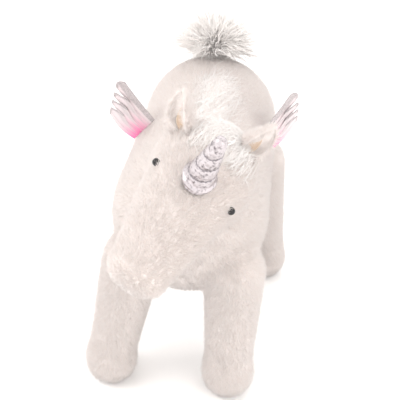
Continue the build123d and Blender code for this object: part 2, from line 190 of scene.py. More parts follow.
head_middle = np.array(joints["head_nod"]["pos_m"])
head_yaw, head_pitch, head_roll = np.radians((-26.5, 28.0, 31.7))
skull_radius = 0.056 - pile_depth
muzzle = np.array([0.0, -0.113, -0.0186])
muzzle_radius = 0.034 - pile_depth
muzzle_front = -0.139 + pile_depth
neck_top = head_middle + np.array([-0.004, 0.012, -0.008])
neck_top_radius = 0.047 - pile_depth
neck_foot = np.array([0.0, -0.0387, 0.222])
neck_foot_radius = 0.068 - pile_depth


def turn(axis, angle):
    """Rotation matrix by angle about the X (0), Y (1) or Z (2) axis."""
    c, s = np.cos(angle), np.sin(angle)
    return {
        0: np.array([[1, 0, 0], [0, c, -s], [0, s, c]]),
        1: np.array([[c, 0, s], [0, 1, 0], [-s, 0, c]]),
        2: np.array([[c, -s, 0], [s, c, 0], [0, 0, 1]]),
    }[axis]


head_turn = turn(2, head_yaw) @ turn(0, head_pitch) @ turn(1, head_roll)


def head_world(points):
    """Points of the head's own frame (X its left, -Y its muzzle, Z its crown) in the toy's frame."""
    return points @ head_turn.T + head_middle


def head_local(points):
    """The other way round: the toy's frame to the head's own."""
    return (points - head_middle) @ head_turn


def unit(vectors):
    """Vectors brought to length one."""
    return vectors / np.maximum(np.linalg.norm(vectors, axis=-1, keepdims=True), 1e-9)


def ball_cone_depth(points, start, end, start_radius, end_radius):
    """Signed distance to a rod whose radius runs from one to another: |p - a - t(b - a)| - r(t)."""
    along = end - start
    share = np.clip((points - start) @ along / (along @ along), 0.0, 1.0)
    radius = start_radius + (end_radius - start_radius) * share
    return np.linalg.norm(points - start - share[..., None] * along, axis=-1) - radius


def smooth_least(a, b, width):
    """Smooth minimum: min(a, b) - h^2 width / 4, with h = max(0, 1 - |a - b| / width)."""
    h = np.maximum(0.0, 1.0 - np.abs(a - b) / width)
    return np.minimum(a, b) - h * h * width / 4


def torso_depth(points):
    """Signed distance to the barrel."""
    return ball_cone_depth(points, shoulder, rump, shoulder_radius, rump_radius)


def leg_depth(points, name):
    """A slanted cone from hip to ankle run into an upright foot that is flat underneath."""
    hip, foot, hip_radius, ankle_radius = legs[name]
    ankle = foot + np.array([0, 0, ankle_height])
    shank = ball_cone_depth(points, hip, ankle, hip_radius, ankle_radius)
    foot_low = foot + np.array([0, 0, 0.026])
    hoof = ball_cone_depth(points, foot_low, ankle, foot_radius, ankle_radius)
    whole = smooth_least(shank, hoof, 0.012)
    return -smooth_least(-whole, points[..., 2] - 0.0015, 0.006)


def head_depth(points):
    """Skull ball and tapering muzzle with a blunt end."""
    own = head_local(points)
    whole = ball_cone_depth(own, np.zeros(3), muzzle, skull_radius, muzzle_radius)
    return -smooth_least(-whole, own[..., 1] - muzzle_front, 0.016)


def neck_depth(points):
    """The short neck between the back of the skull and the shoulders."""
    return ball_cone_depth(points, neck_top, neck_foot, neck_top_radius, neck_foot_radius)


def form_depth(points):
    """The whole stuffed form: the smooth minimum of all its parts."""
    depth = smooth_least(torso_depth(points), neck_depth(points), 2 * crease)
    for name in legs:
        depth = smooth_least(depth, leg_depth(points, name), crease)
    return smooth_least(depth, head_depth(points), crease)


def slope_of(depth, points, step=0.0004):
    """Gradient of a signed distance by central differences."""
    shifts = np.eye(3) * step
    return np.stack(
        [(depth(points + shift) - depth(points - shift)) / (2 * step) for shift in shifts], axis=-1
    )


def settle(points, rounds=3, most=0.009):
    """Moves points that lie near the stuffed form onto it: p - F(p) grad F / |grad F|^2, a few times."""
    for _ in range(rounds):
        depth = form_depth(points)
        slope = slope_of(form_depth, points)
        move = -depth[..., None] * slope / np.maximum((slope**2).sum(-1, keepdims=True), 0.04)
        near = (np.abs(depth) < most)[..., None]
        points = points + np.where(near, move, 0.0)
    return points


def other_depth(points, own):
    """Signed distance to the nearest part of the form, leaving out one of them."""
    parts = {"torso": torso_depth, "neck": neck_depth, "head": head_depth}
    found = [depth(points) for name, depth in parts.items() if name != own]
    found += [leg_depth(points, name) for name in legs if name != own]
    return np.min(found, axis=0)


def own_depth(points, own):
    """Signed distance to one part of the form."""
    parts = {"torso": torso_depth, "neck": neck_depth, "head": head_depth}
    return parts[own](points) if own in parts else leg_depth(points, own)


def lay(points, own, slack=0.0008):
    """Lays one part's points on the whole form, up to the seam where another part is nearer."""
    points = points - own_depth(points, own)[..., None] * slope_of(
        lambda p: own_depth(p, own), points
    )
    belongs = own_depth(points, own) < other_depth(points, own) + slack
    return np.where(belongs[..., None], settle(points), points)


def around(direction):
    """Two unit vectors square to a direction and to each other; the first is as high as it can be."""
    direction = unit(direction)
    high = unit(np.array([0.0, 0.0, 1.0]) - direction[2] * direction)
    return high, np.cross(direction, high)


def ball_cone_grid(start, end, start_radius, end_radius, rows, angles):
    """The ball-cone's skin: its profile (arc, line, arc) by length, carried round its axis.

    p(s, a) = start + d y(s) + x(s) (h cos a + k sin a), with h the highest square direction.
    """
    length = np.linalg.norm(end - start)
    direction = (end - start) / length
    lean = np.arcsin((start_radius - end_radius) / length)
    first = start_radius * (lean + np.pi / 2)
    middle = length * np.cos(lean)
    last = end_radius * (np.pi / 2 - lean)
    s = np.linspace(0.0, 1.0, rows) * (first + middle + last)
    one = -np.pi / 2 + s / start_radius
    share = np.clip((s - first) / middle, 0.0, 1.0)
    two = lean + np.clip((s - first - middle) / end_radius, 0.0, None)
    radius = start_radius + (end_radius - start_radius) * share
    angle = np.where(s < first, one, two)
    x = radius * np.cos(angle)
    y = length * share + radius * np.sin(angle)
    high, level = around(direction)
    ring = np.cos(angles)[:, None] * high + np.sin(angles)[:, None] * level
    return start + y[:, None, None] * direction + x[:, None, None] * ring[None]


def built_mesh(name, points, corners, sizes, tones=None):
    """A mesh from its points, all its faces' corners in one row, and each face's number of corners."""
    mesh = bpy.data.meshes.new(name)
    mesh.vertices.add(len(points))
    mesh.vertices.foreach_set("co", points.reshape(-1).astype(np.float32))
    mesh.loops.add(len(corners))
    mesh.loops.foreach_set("vertex_index", corners.astype(np.int32))
    mesh.polygons.add(len(sizes))
    mesh.polygons.foreach_set("loop_start", (np.cumsum(sizes) - sizes).astype(np.int32))
    if tones is not None:
        mesh.polygons.foreach_set("material_index", tones.astype(np.int32))
    mesh.update(calc_edges=True)
    return mesh


def grid_mesh(name, points, ring=False):
    """A mesh of quads over a grid of points; ring closes it round its columns."""
    rows, columns = points.shape[:2]
    index = np.arange(rows * columns).reshape(rows, columns)
    right = np.roll(index, -1, axis=1) if ring else index[:, 1:]
    left = index if ring else index[:, :-1]
    faces = np.stack([left[:-1], right[:-1], right[1:], left[1:]], axis=-1).reshape(-1, 4)
    return built_mesh(name, points.reshape(-1, 3), faces.reshape(-1), np.full(len(faces), 4))


def place_piece(name, mesh, material, smooth=True):
    """Puts a finished mesh into the scene with its material."""
    piece = bpy.data.objects.new(name, mesh)
    bpy.context.scene.collection.objects.link(piece)
    for one in material if isinstance(material, (list, tuple)) else [material]:
        mesh.materials.append(one)
    if smooth:
        mesh.shade_smooth()
    return piece


def weld(piece):
    """Merges doubled points, fills what is left open and turns every face outwards."""
    work = bmesh.new()
    work.from_mesh(piece.data)
    bmesh.ops.remove_doubles(work, verts=work.verts, dist=1e-5)
    bmesh.ops.dissolve_degenerate(work, edges=work.edges, dist=1e-6)
    bmesh.ops.holes_fill(work, edges=[edge for edge in work.edges if edge.is_boundary], sides=0)
    bmesh.ops.recalc_face_normals(work, faces=work.faces)
    work.to_mesh(piece.data)
    work.free()
    piece.data.shade_smooth()
    return piece


def grid_normals(points, ring=False):
    """Unit normals of a grid of points: the cross product of its two differences."""
    down = np.gradient(points, axis=0)
    across = np.gradient(points, axis=1)
    if ring:
        across = (np.roll(points, -1, axis=1) - np.roll(points, 1, axis=1)) / 2
    return unit(np.cross(down, across))


cloth_thickness = 0.0012


def cloth(name, points, material, ring=False, thickness=cloth_thickness, poles=False):
    """One cut panel: the grid is its outer face, the inner face lies a thickness in, its edges closed."""
    normal = grid_normals(points, ring)
    outside = form_depth(points + normal * 0.002) - form_depth(points - normal * 0.002)
    inner = points - normal * thickness * np.sign(np.median(outside))
    if ring and poles:
        stack = np.concatenate([points, inner[::-1]])
    elif ring:
        stack = np.concatenate([points, inner[::-1], points[:1]])
    else:
        stack = np.concatenate([points, inner[:, ::-1], points[:, :1]], axis=1)
    return weld(place_piece(name, grid_mesh(name, stack, ring=ring), material))


# ---- The pile -----------------------------------------------------------------------------------------
# Short dense white plush: fine tapered tufts that stand in the cloth, combed one way and a little uneven.
tuft_length = 0.0078
tuft_half_width = 0.00028
tufts_per_square_metre = 1.12e6
pile_lean = np.radians(52.0)
pile_whites = [
    plain_material(f"pile_white_{tone}", colour, 0.75, 0.0, 0.1)
    for tone, colour in enumerate((
        (0.945, 0.882, 0.854),
        (0.930, 0.860, 0.828),
        (0.960, 0.915, 0.893),
        (0.900, 0.822, 0.785),
    ))
]
tone_shares = (0.38, 0.27, 0.25, 0.10)


def combed(way):
    """A comb that lays the pile the same way everywhere."""
    return lambda points: np.broadcast_to(np.asarray(way, dtype=float), points.shape)


def needle_mesh(name, roots, tips, half_width, tones):
    """Three-sided needles: r_k = root + w (e cos(2 pi k / 3) + f sin(2 pi k / 3)), closed to one tip."""
    count = len(roots)
    along = unit(tips - roots)
    guide = np.where(np.abs(along[:, 2:3]) < 0.9, np.array([[0.0, 0.0, 1.0]]), np.array([[1.0, 0.0, 0.0]]))
    e = unit(np.cross(along, guide))
    f = np.cross(along, e)
    turns = 2 * np.pi * np.arange(3) / 3
    width = np.broadcast_to(half_width, (count,))[:, None, None]
    ring = roots[:, None] + width * (
        np.cos(turns)[None, :, None] * e[:, None] + np.sin(turns)[None, :, None] * f[:, None]
    )
    points = np.concatenate([ring, tips[:, None]], axis=1)
    corner = np.array([[0, 1, 3], [1, 2, 3], [2, 0, 3]])
    faces = (np.arange(count)[:, None, None] * 4 + corner[None]).reshape(-1, 3)
    return built_mesh(
        name, points.reshape(-1, 3), faces.reshape(-1), np.full(len(faces), 3), np.repeat(tones, 3)
    )


def roots_on(points, ring, density):
    """Random places on a grid, even by area, with their outward directions."""
    if ring:
        points = np.concatenate([points, points[:, :1]], axis=1)
    a, b, c, d = points[:-1, :-1], points[:-1, 1:], points[1:, 1:], points[1:, :-1]
    normal = np.cross(c - a, d - b)
    area = np.linalg.norm(normal, axis=-1) / 2
    count = int(area.sum() * density)
    cell = rng.choice(area.size, size=count, p=(area / area.sum()).reshape(-1))
    u, v = rng.random((2, count, 1))
    a, b, c, d = (corner.reshape(-1, 3)[cell] for corner in (a, b, c, d))
    roots = (1 - u) * ((1 - v) * a + v * b) + u * ((1 - v) * d + v * c)
    normal = normal.reshape(-1, 3)[cell]
    return roots, normal / np.maximum(np.linalg.norm(normal, axis=1, keepdims=True), 1e-12)


def pile(
    name, points, comb, ring=False, keep=None, length=tuft_length, density=1.0, way=None
):
    """Tufts on one panel: tip = root + L (n cos b + t sin b), t the combed direction in the panel's face.

    On the stuffed form they stand outwards; on a loose piece n points the way that way(roots) gives.
    """
    roots, normal = roots_on(points, ring, tufts_per_square_metre * density)
    if way is None:
        outside = form_depth(roots + normal * 0.001) - form_depth(roots - normal * 0.001)
        kept = np.abs(form_depth(roots)) < 0.0025
    else:
        outside = (normal * way(roots)).sum(1)
        kept = np.ones(len(roots), dtype=bool)
    normal *= np.where(outside < 0, -1.0, 1.0)[:, None]
    if keep is not None:
        kept &= keep(roots)
    roots, normal = roots[kept], normal[kept]
    count = len(roots)
    slow_one = 3 * np.sin(roots @ np.array([60.0, -90.0, 120.0]))
    slow_two = 3 * np.sin(roots @ np.array([110.0, 70.0, -80.0]))
    wave = np.stack([
        np.sin(roots @ np.array([310.0, 170.0, 90.0]) + slow_one),
        np.sin(roots @ np.array([-120.0, 260.0, 200.0]) + slow_two),
        np.sin(roots @ np.array([200.0, -150.0, 280.0])),
    ], axis=1)
    flow = comb(roots) + 0.16 * wave + 0.50 * rng.normal(size=(count, 3))
    flow -= (flow * normal).sum(1, keepdims=True) * normal
    flow = unit(flow)
    bend = pile_lean + rng.normal(0.0, 0.16, (count, 1))
    reach = length * rng.uniform(0.75, 1.15, (count, 1))
    tips = roots + reach * (normal * np.cos(bend) + flow * np.sin(bend))
    tips[:, 2] = np.maximum(tips[:, 2], 0.0006)
    tones = rng.choice(len(pile_whites), size=count, p=tone_shares)
    mesh = needle_mesh(name, roots - normal * 0.0004, tips, tuft_half_width, tones)
    piece = place_piece(name, mesh, pile_whites, smooth=False)
    return piece


def cloth_material(name, colour, second, scale=900.0, roughness=0.9):
    """Backing cloth: two close tones mottled by noise, with a knitted grain in its bump."""
    material = plain_material(name, colour, roughness, 0.0, 0.3)
    shader = material.node_tree.nodes["Principled BSDF"]
    noise = texture(material, "ShaderNodeTexNoise", Scale=scale / 4, Detail=4.0)
    mix = node(material, "ShaderNodeMix")
    mix.data_type = "RGBA"
    mix.inputs["A"].default_value = (*colour, 1.0)
    mix.inputs["B"].default_value = (*second, 1.0)
    join(material, noise, "Fac", mix, "Factor")
    join(material, mix, "Result", shader, "Base Color")
    grain = texture(material, "ShaderNodeTexNoise", Scale=scale)
    bumped(material, grain, "Fac", 0.5, 0.0006)
    return material


# The backing's two tones are darker than the pile's whites as painted shade deep in the pile; the noise
# mottles them at random.
backing = cloth_material("plush_backing", (0.86, 0.82, 0.80), (0.78, 0.73, 0.71))


def sew_in(points, edges, depth=0.0014, reach=0.004):
    """Pulls a panel's edge columns under along its seams: inwards by depth exp(-(distance / reach)^2)."""
    step = np.linalg.norm(np.diff(points, axis=1), axis=-1)
    run = np.concatenate([np.zeros((len(points), 1)), np.cumsum(step, axis=1)], axis=1)
    fold = np.zeros_like(run)
    if "first" in edges:
        fold += np.exp(-((run / reach) ** 2))
    if "last" in edges:
        fold += np.exp(-(((run[:, -1:] - run) / reach) ** 2))
    inwards = slope_of(form_depth, points)
    inwards /= np.maximum(np.linalg.norm(inwards, axis=-1, keepdims=True), 0.2)
    return points - depth * fold[..., None] * inwards


# ---- Torso ----------------------------------------------------------------------------------------------
# Two side panels sewn together along the back, and a gusset between them under the belly. The inside is
# packed with loose fibre filling, which rounds them out.
gusset_half = np.radians(24.0)
torso_rows = 130
torso_pile_density = 0.86   # as a share of the general one
comb_back = combed((0.0, 0.9, -0.55))       # backwards and down

# Each panel: where it runs round the barrel, from the top, and its grid's columns.
torso_panels = {
    "torso_left": (0.0, np.pi - gusset_half, 90),
    "torso_right": (np.pi + gusset_half, 2 * np.pi, 90),
    "torso_belly": (np.pi - gusset_half, np.pi + gusset_half, 26),
}
stands_for = {
    "torso_left": ["torso_cover_left"],
    "torso_right": ["torso_cover_right"],
    "torso_belly": ["belly_gusset", "torso_stuffing"],
}
for panel_name, (first, last, columns) in torso_panels.items():
    raw = ball_cone_grid(
        shoulder, rump, shoulder_radius, rump_radius, torso_rows, np.linspace(first, last, columns)
    )
    sewn = sew_in(lay(raw, "torso"), ("first", "last"))
    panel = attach(cloth(f"{panel_name}_panel", sewn, backing), "torso")
    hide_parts(*stands_for[panel_name])
    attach(pile(f"{panel_name}_pile", sewn, comb_back, density=torso_pile_density), "torso")

# ---- Legs -----------------------------------------------------------------------------------------------
# Four stuffed tubes of plush, each closed underneath by a round sole and sewn to the torso at the hip.
leg_columns = 72
foot_middle = 0.020         # height of the point that the rounded foot is measured from
foot_rows = 22
leg_rows = 66
hip_rows = 16
sole_rows = 11
leg_bend_start = 0.010      # how far below the hip bend_from and bend_to lie
leg_bend_end = 0.062
comb_down = combed((0.0, 0.25, -1.0))       # down, and a little back


def leg_grid(name):
    """Rows from the middle of the sole up the leg and over the hip's ball, found by walking outwards.

    Foot: c + r (sin b ring - cos b up); leg: axis(z) + r ring; hip: c + r (cos b ring + sin b up), b
    from 0 to a right angle. In all three, r goes on by the leg's signed distance until it is 0.
    """
    hip, foot, _, _ = legs[name]
    angles = np.linspace(0, 2 * np.pi, leg_columns, endpoint=False)
    ring = np.stack([np.cos(angles), np.sin(angles), np.zeros_like(angles)], axis=-1)
    up = np.array([0.0, 0.0, 1.0])
    turn_out = np.linspace(0, np.pi / 2, foot_rows)[:-1]
    low_way = np.sin(turn_out)[:, None, None] * ring - np.cos(turn_out)[:, None, None] * up
    low_from = np.broadcast_to(foot + foot_middle * up, low_way.shape)
    heights = np.linspace(foot_middle, hip[2], leg_rows)
    share = np.clip((heights - ankle_height) / (hip[2] - ankle_height), 0.0, 1.0)[:, None]
    axis = foot + share * (hip - foot) * np.array([1.0, 1.0, 0.0]) + heights[:, None] * up
    high_way = np.broadcast_to(ring, (leg_rows, leg_columns, 3))
    high_from = np.broadcast_to(axis[:, None], high_way.shape)
    turn_in = np.linspace(0, np.pi / 2, hip_rows + 1)[1:]
    top_way = np.cos(turn_in)[:, None, None] * ring + np.sin(turn_in)[:, None, None] * up
    top_from = np.broadcast_to(hip, top_way.shape)
    way = np.concatenate([low_way, high_way, top_way])
    start = np.concatenate([low_from, high_from, top_from])
    reach = np.full(way.shape[:2], 0.012)
    for _ in range(40):
        reach = reach - 0.8 * leg_depth(start + reach[..., None] * way, name)
    return start + reach[..., None] * way


for leg_name, (hip, foot, _, _) in legs.items():
    raw = leg_grid(leg_name)
    laid = lay(raw, leg_name)
    skin = cloth(f"leg_{leg_name}_panel", laid[sole_rows:], backing, ring=True)
    sole = cloth(f"leg_{leg_name}_sole_panel", laid[: sole_rows + 1], backing, ring=True, poles=True)
    hair = pile(f"leg_{leg_name}_pile", laid[sole_rows:], comb_down, ring=True)
    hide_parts(f"leg_{leg_name}_cover", f"leg_{leg_name}_stuffing")
    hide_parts(f"leg_{leg_name}_sole")
    bend_from = (*hip[:2], hip[2] - leg_bend_start)
    bend_to = (*hip[:2], hip[2] - leg_bend_end)
    for piece in (skin, hair):
        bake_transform(piece)
    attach(sole, f"leg_{leg_name}")

# ---- Neck -----------------------------------------------------------------------------------------------
# A short stuffed sleeve of plush from the back of the head into the shoulders.
neck_columns = 96
neck_rows = 64
neck_middle = (neck_top + neck_foot) / 2
comb_neck = combed((0.0, 1.0, -0.35))       # back over the shoulders

raw = ball_cone_grid(
    neck_foot, neck_top, neck_foot_radius, neck_top_radius, neck_rows,
    np.linspace(0, 2 * np.pi, neck_columns, endpoint=False),
)
laid = lay(raw, "neck")
cut = int(np.argmax(
    ((laid.mean(axis=1) - neck_foot) @ (neck_top - neck_foot))
    > 0.5 * (neck_top - neck_foot) @ (neck_top - neck_foot)
))
neck_parts = {
    "neck_lower": (laid[2 : cut + 1], ("torso", "neck"), neck_foot, neck_middle),
    "neck_upper": (laid[cut:-2], ("neck", "head"), neck_middle, neck_top),
}
for part_name, (grid, (below, above), bend_from, bend_to) in neck_parts.items():
    skin = cloth(f"{part_name}_panel", grid, backing, ring=True)
    hair = pile(f"{part_name}_pile", grid, comb_neck, ring=True)
    for piece in (skin, hair):
        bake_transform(piece)
    if part_name == "neck_lower":
        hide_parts("neck_cover", "neck_stuffing")

# ---- Head -----------------------------------------------------------------------------------------------
# Two side panels and a strip between them that runs from the poll over the forehead to the muzzle and back
# under the chin. The seams sink into the pile. Glossy domed eyes are pinned through the side panels.
strip_half_angle = np.radians(27.0)
head_rows = 110
head_panels = {
    "head_left": (strip_half_angle, np.pi - strip_half_angle, 70),
    "head_right": (np.pi + strip_half_angle, 2 * np.pi - strip_half_angle, 70),
    "head_strip": (-strip_half_angle, strip_half_angle, 32),
    "head_chin": (np.pi - strip_half_angle, np.pi + strip_half_angle, 32),
}
head_stands_for = {
    "head_left": ["head_side_left"],
    "head_right": ["head_side_right"],
    "head_strip": ["head_centre_strip"],
    "head_chin": ["head_stuffing"],
}
eye_middles = [
    np.array([sum(pair) / 2 for pair in zip(*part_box(f"eye_{side}"))]) for side in ("left", "right")
]
eye_axes = [(middle - head_middle) / np.linalg.norm(middle - head_middle) for middle in eye_middles]
eye_height = 0.0535
eye_clear = 0.0013
horn_clear = 0.0150
head_pile_length = 0.0068
head_pile_density = 1.15
comb_head = combed(head_turn @ np.array([0.0, 0.95, 0.1]))      # from the muzzle back to the poll


def off_the_eyes(points):
    """True where a point is clear of both eyes and of the horn's foot."""
    clear = np.ones(len(points), dtype=bool)
    for way in eye_axes:
        clear &= np.linalg.norm(points - head_middle - eye_height * way, axis=1) > eye_clear
    own = head_local(points)
    return clear & (np.hypot(own[:, 0], own[:, 1] + 0.024) > horn_clear)


for panel_name, (first, last, columns) in head_panels.items():
    raw = ball_cone_grid(
        np.zeros(3), muzzle, skull_radius, muzzle_radius, head_rows, np.linspace(first, last, columns)
    )
    sewn = sew_in(lay(head_world(raw), "head"), ("first", "last"), depth=0.0004)
    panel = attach(cloth(f"{panel_name}_panel", sewn, backing), "head")
    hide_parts(*head_stands_for[panel_name])
    hair = pile(
        f"{panel_name}_pile", sewn, comb_head, keep=off_the_eyes,
        length=head_pile_length, density=head_pile_density,
    )
    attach(hair, "head")


# The eyes' domes are polished black; the washers that hold them inside are moulded nylon.
eye_black = plain_material("eye_black", (0.006, 0.005, 0.006), 0.06)
smear = texture(eye_black, "ShaderNodeTexNoise", Scale=700.0)
smear_range = node(eye_black, "ShaderNodeMapRange", To_Min=0.03, To_Max=0.12)
join(eye_black, smear, "Fac", smear_range, "Value")
join(eye_black, smear_range, "Result", eye_black.node_tree.nodes["Principled BSDF"], "Roughness")
washer_white = cloth_material("washer_nylon", (0.82, 0.82, 0.80), (0.76, 0.76, 0.74), 2500.0, 0.45)
for side in ("left", "right"):
    bpy.data.objects[f"eye_{side}"].material_slots[0].material = eye_black
    bpy.data.objects[f"eye_{side}_washer"].material_slots[0].material = washer_white

# ---- Horn -----------------------------------------------------------------------------------------------
# A stuffed cone of crinkled silver cloth, wound round with silver thread that pulls a spiral groove into it,
# with its raw edge folded under where it is sewn to the forehead.
horn_lean = np.radians(8.0)
horn_base_radius = 0.0152
horn_tip_radius = 0.0056
horn_length = 0.074
horn_pitch = 0.0175
horn_fold = 0.0022          # how far the folded edge stands out
horn_sink = 0.006           # how far the cone's foot reaches into the pile
horn_rows = 170
horn_columns = 120
horn_up = np.array([0.0, np.sin(horn_lean), np.cos(horn_lean)])
horn_side = np.array([1.0, 0.0, 0.0])
horn_front = np.cross(horn_up, horn_side)
horn_foot = np.array([0.0, -0.025, 0.050]) / np.hypot(0.025, 0.050) * 0.0545


def horn_radius(height):
    """Straight taper with a round end: R(h) = R0 + (R1 - R0) h / L, times sqrt(1 - e^2) at the end."""
    straight = horn_base_radius + (horn_tip_radius - horn_base_radius) * height / horn_length
    end = np.clip((height - horn_length + horn_tip_radius) / horn_tip_radius, 0.0, 1.0)
    return straight * np.sqrt(1 - end**2)


def horn_skin(height, angle):
    """R(h) less a groove along the spiral h / pitch - a / 2 pi, plus pleats beside it and fine crinkles."""
    phase = height / horn_pitch - angle / (2 * np.pi)
    swell = np.abs(np.sin(np.pi * phase)) ** 0.55
    above = np.clip(height / horn_length, 0.0, 1.0)
    depth = (0.07 + 0.08 * above) * np.clip(height / 0.012, 0.0, 1.0)
    pleat = 0.020 * np.sin(19 * angle + 4 * np.sin(3 * phase * np.pi)) * (1 - swell)
    crinkle = 0.012 * np.sin(5 * angle + 600 * height + 2 * np.sin(3 * angle - 300 * height))
    crinkle += 0.005 * np.sin(1100 * height - 3 * angle + 3 * np.sin(4 * angle))
    return horn_radius(height) * (1 - depth * (1 - swell) + pleat + crinkle)


def horn_point(height, radius, angle):
    """A point at a height up the horn, in the toy's frame."""
    out = np.cos(angle)[..., None] * horn_side + np.sin(angle)[..., None] * horn_front
    return head_world(horn_foot + height[..., None] * horn_up + radius[..., None] * out)


def silver_material(name, crinkle_shade, light, roughness, scale):
    """Metallised cloth: greys mottled by noise, the darker ones painted shade of crinkles, with sharp little
    creases in its bump.
    """
    material = plain_material(name, light, roughness, 0.85)
    shader = material.node_tree.nodes["Principled BSDF"]
    noise = texture(material, "ShaderNodeTexNoise", Scale=scale, Detail=3.0, Roughness=0.55)
    # Painted shade: where the noise is low, the ramp gives the dark grey of crinkles in shade.
    ramp = node(material, "ShaderNodeValToRGB")
    for stop, position, colour in zip(ramp.color_ramp.elements, (0.30, 0.50), (crinkle_shade, light)):
        stop.position = position
        stop.color = (*colour, 1.0)
    join(material, noise, "Fac", ramp, "Fac")
    join(material, ramp, "Color", shader, "Base Color")
    cells = texture(material, "ShaderNodeTexVoronoi", Scale=scale * 1.6)
    bumped(material, cells, "Distance", 0.35, 0.0008)
    return material


silver_cloth = silver_material("silver_cloth", (0.20, 0.18, 0.19), (0.58, 0.54, 0.56), 0.32, 300.0)
silver_thread = silver_material("silver_thread", (0.14, 0.13, 0.14), (0.32, 0.30, 0.32), 0.38, 1500.0)

angles = np.linspace(0, 2 * np.pi, horn_columns, endpoint=False)
heights = np.linspace(-horn_sink, horn_length, horn_rows)
height_grid, angle_grid = np.meshgrid(heights, angles, indexing="ij")
radius_grid = horn_skin(height_grid, angle_grid)
radius_grid += horn_fold * np.exp(-(((height_grid - 0.001) / 0.0022) ** 2))
outer = horn_point(height_grid, radius_grid, angle_grid)
inner = horn_point(height_grid - 0.0008, np.maximum(radius_grid - 0.0010, 0.0), angle_grid)
horn = place_piece(
    "horn_silver", grid_mesh("horn_silver", np.concatenate([outer, inner[::-1], outer[:1]]), ring=True),
    silver_cloth,
)
weld(horn)
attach(horn, "head")
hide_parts("horn_cover", "horn_stuffing")

thread_radius = 0.00055
thread_steps = 520
thread_sides = 8
climb = np.linspace(0.004, horn_length - 0.011, thread_steps)[:, None]
wind = 2 * np.pi * climb / horn_pitch
round_it = np.linspace(0, 2 * np.pi, thread_sides, endpoint=False)[None]
twist = 1 + 0.22 * np.sin(2 * round_it + climb * 9000)
thread_out = horn_skin(climb, wind) + thread_radius * (0.5 + np.cos(round_it) * twist)
thread_up = climb + thread_radius * np.sin(round_it) * twist
thread_skin = horn_point(thread_up, thread_out, wind + 0 * round_it)
thread = place_piece("horn_thread", grid_mesh("horn_thread", thread_skin, ring=True), silver_thread)
weld(thread)
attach(thread, "head")
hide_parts("horn_binding")

# ---- Ears -----------------------------------------------------------------------------------------------
# Each ear is a leaf of plush with a short lining, folded at the root and cupped; the lining's beige is
# painted shade of the ear's fold. The pile of its rim turns over and nearly closes on the lining.
ear_length = 0.036
ear_half_width = 0.0135
ear_curl = 1.65             # radians from the ear's middle line to its rim
ear_wall = 0.0030
ear_rows = 46
ear_columns = 40
lining_share = 0.55         # the lining, as shares of the ear: its width, and its length
lining_length_share = 0.7
lining_lift = 0.0034
lining_wall = 0.0010
ear_root_height = 0.0500    # from the head's middle
ear_pile_length = 0.0085
ear_pile_density = 1.3
edge_pile_density = 1.5
edge_columns = 14           # how much of each side is rim
# The lining's beige is painted shade of the fold in the ear, mottled at random by noise.
ear_fold_shade_beige = cloth_material("ear_fold_shade_beige", (0.80, 0.66, 0.54), (0.72, 0.58, 0.46), 1600.0)
# Each ear: where it leaves the head, and the way it leans, in the head's own frame.
ear_ways = {
    "left": ((0.30, 0.75, 0.58), (0.60, 0.62, 0.50)),
    "right": ((-0.66, 0.42, 0.62), (-0.76, 0.46, 0.46)),
}


def ear_grid(root, along, face, half_width, length, rows=ear_rows, columns=ear_columns):
    """Leaf u, v: root + u L along + w(u) (sin(c v) across + (1 - cos(c v)) face), bowed backwards by u^2."""
    across = np.cross(along, face)
    across /= np.linalg.norm(across)
    front = np.cross(across, along)
    u = np.linspace(0, 1, rows)[:, None, None]
    v = np.linspace(-1, 1, columns)[None, :, None]
    width = half_width * (0.50 + 0.50 * np.sin(np.pi * (0.10 + 0.75 * u))) * np.sqrt(1 - 0.985 * u**5)
    curl = ear_curl * (1.15 - 0.35 * u)
    side = np.sin(curl * v) * across + (1 - np.cos(curl * v)) * front
    return root + u * length * along + width * side - 0.004 * u**2 * front


for side, (out, lean_out) in ear_ways.items():
    out = unit(np.array(out))
    lean_out = unit(np.array(lean_out))
    face = np.array([0.0, -1.0, 0.0])
    root = out * ear_root_height
    leaf = head_world(ear_grid(root, lean_out, face, ear_half_width, ear_length))
    lining_leaf = head_world(
        ear_grid(
            root + lining_lift * face, lean_out, face,
            ear_half_width * lining_share, ear_length * lining_length_share,
        )
    )
    face_way = head_turn @ face
    along_way = head_turn @ lean_out

    away, towards = combed(-face_way), combed(face_way)
    comb_ear, comb_rim = combed(along_way), combed(face_way + 0.5 * along_way)
    normal = grid_normals(leaf)
    normal *= np.sign((normal * -face_way).sum(-1).mean())
    back_stack = np.concatenate([leaf, (leaf - normal * ear_wall)[:, ::-1], leaf[:, :1]], axis=1)
    back_cloth = weld(place_piece(f"ear_{side}_back", grid_mesh(f"ear_{side}_back", back_stack), backing))
    lining_stack = np.concatenate(
        [lining_leaf, (lining_leaf - normal * lining_wall)[:, ::-1], lining_leaf[:, :1]], axis=1
    )
    lining_name = f"ear_{side}_inside"
    lining = weld(place_piece(lining_name, grid_mesh(lining_name, lining_stack), ear_fold_shade_beige))
    hair = pile(
        f"ear_{side}_pile", leaf, comb_ear, way=away, length=ear_pile_length, density=ear_pile_density
    )
    for edge, strip in (("inner", leaf[:, :edge_columns]), ("outer", leaf[:, -edge_columns:])):
        rim_hair = pile(
            f"ear_{side}_{edge}_edge_pile", strip, comb_rim, way=towards,
            length=ear_pile_length, density=edge_pile_density,
        )
        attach(rim_hair, f"ear_{side}")
    for piece in (back_cloth, lining, hair):
        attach(piece, f"ear_{side}")
    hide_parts(f"ear_{side}_outer")
    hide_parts(f"ear_{side}_lining")

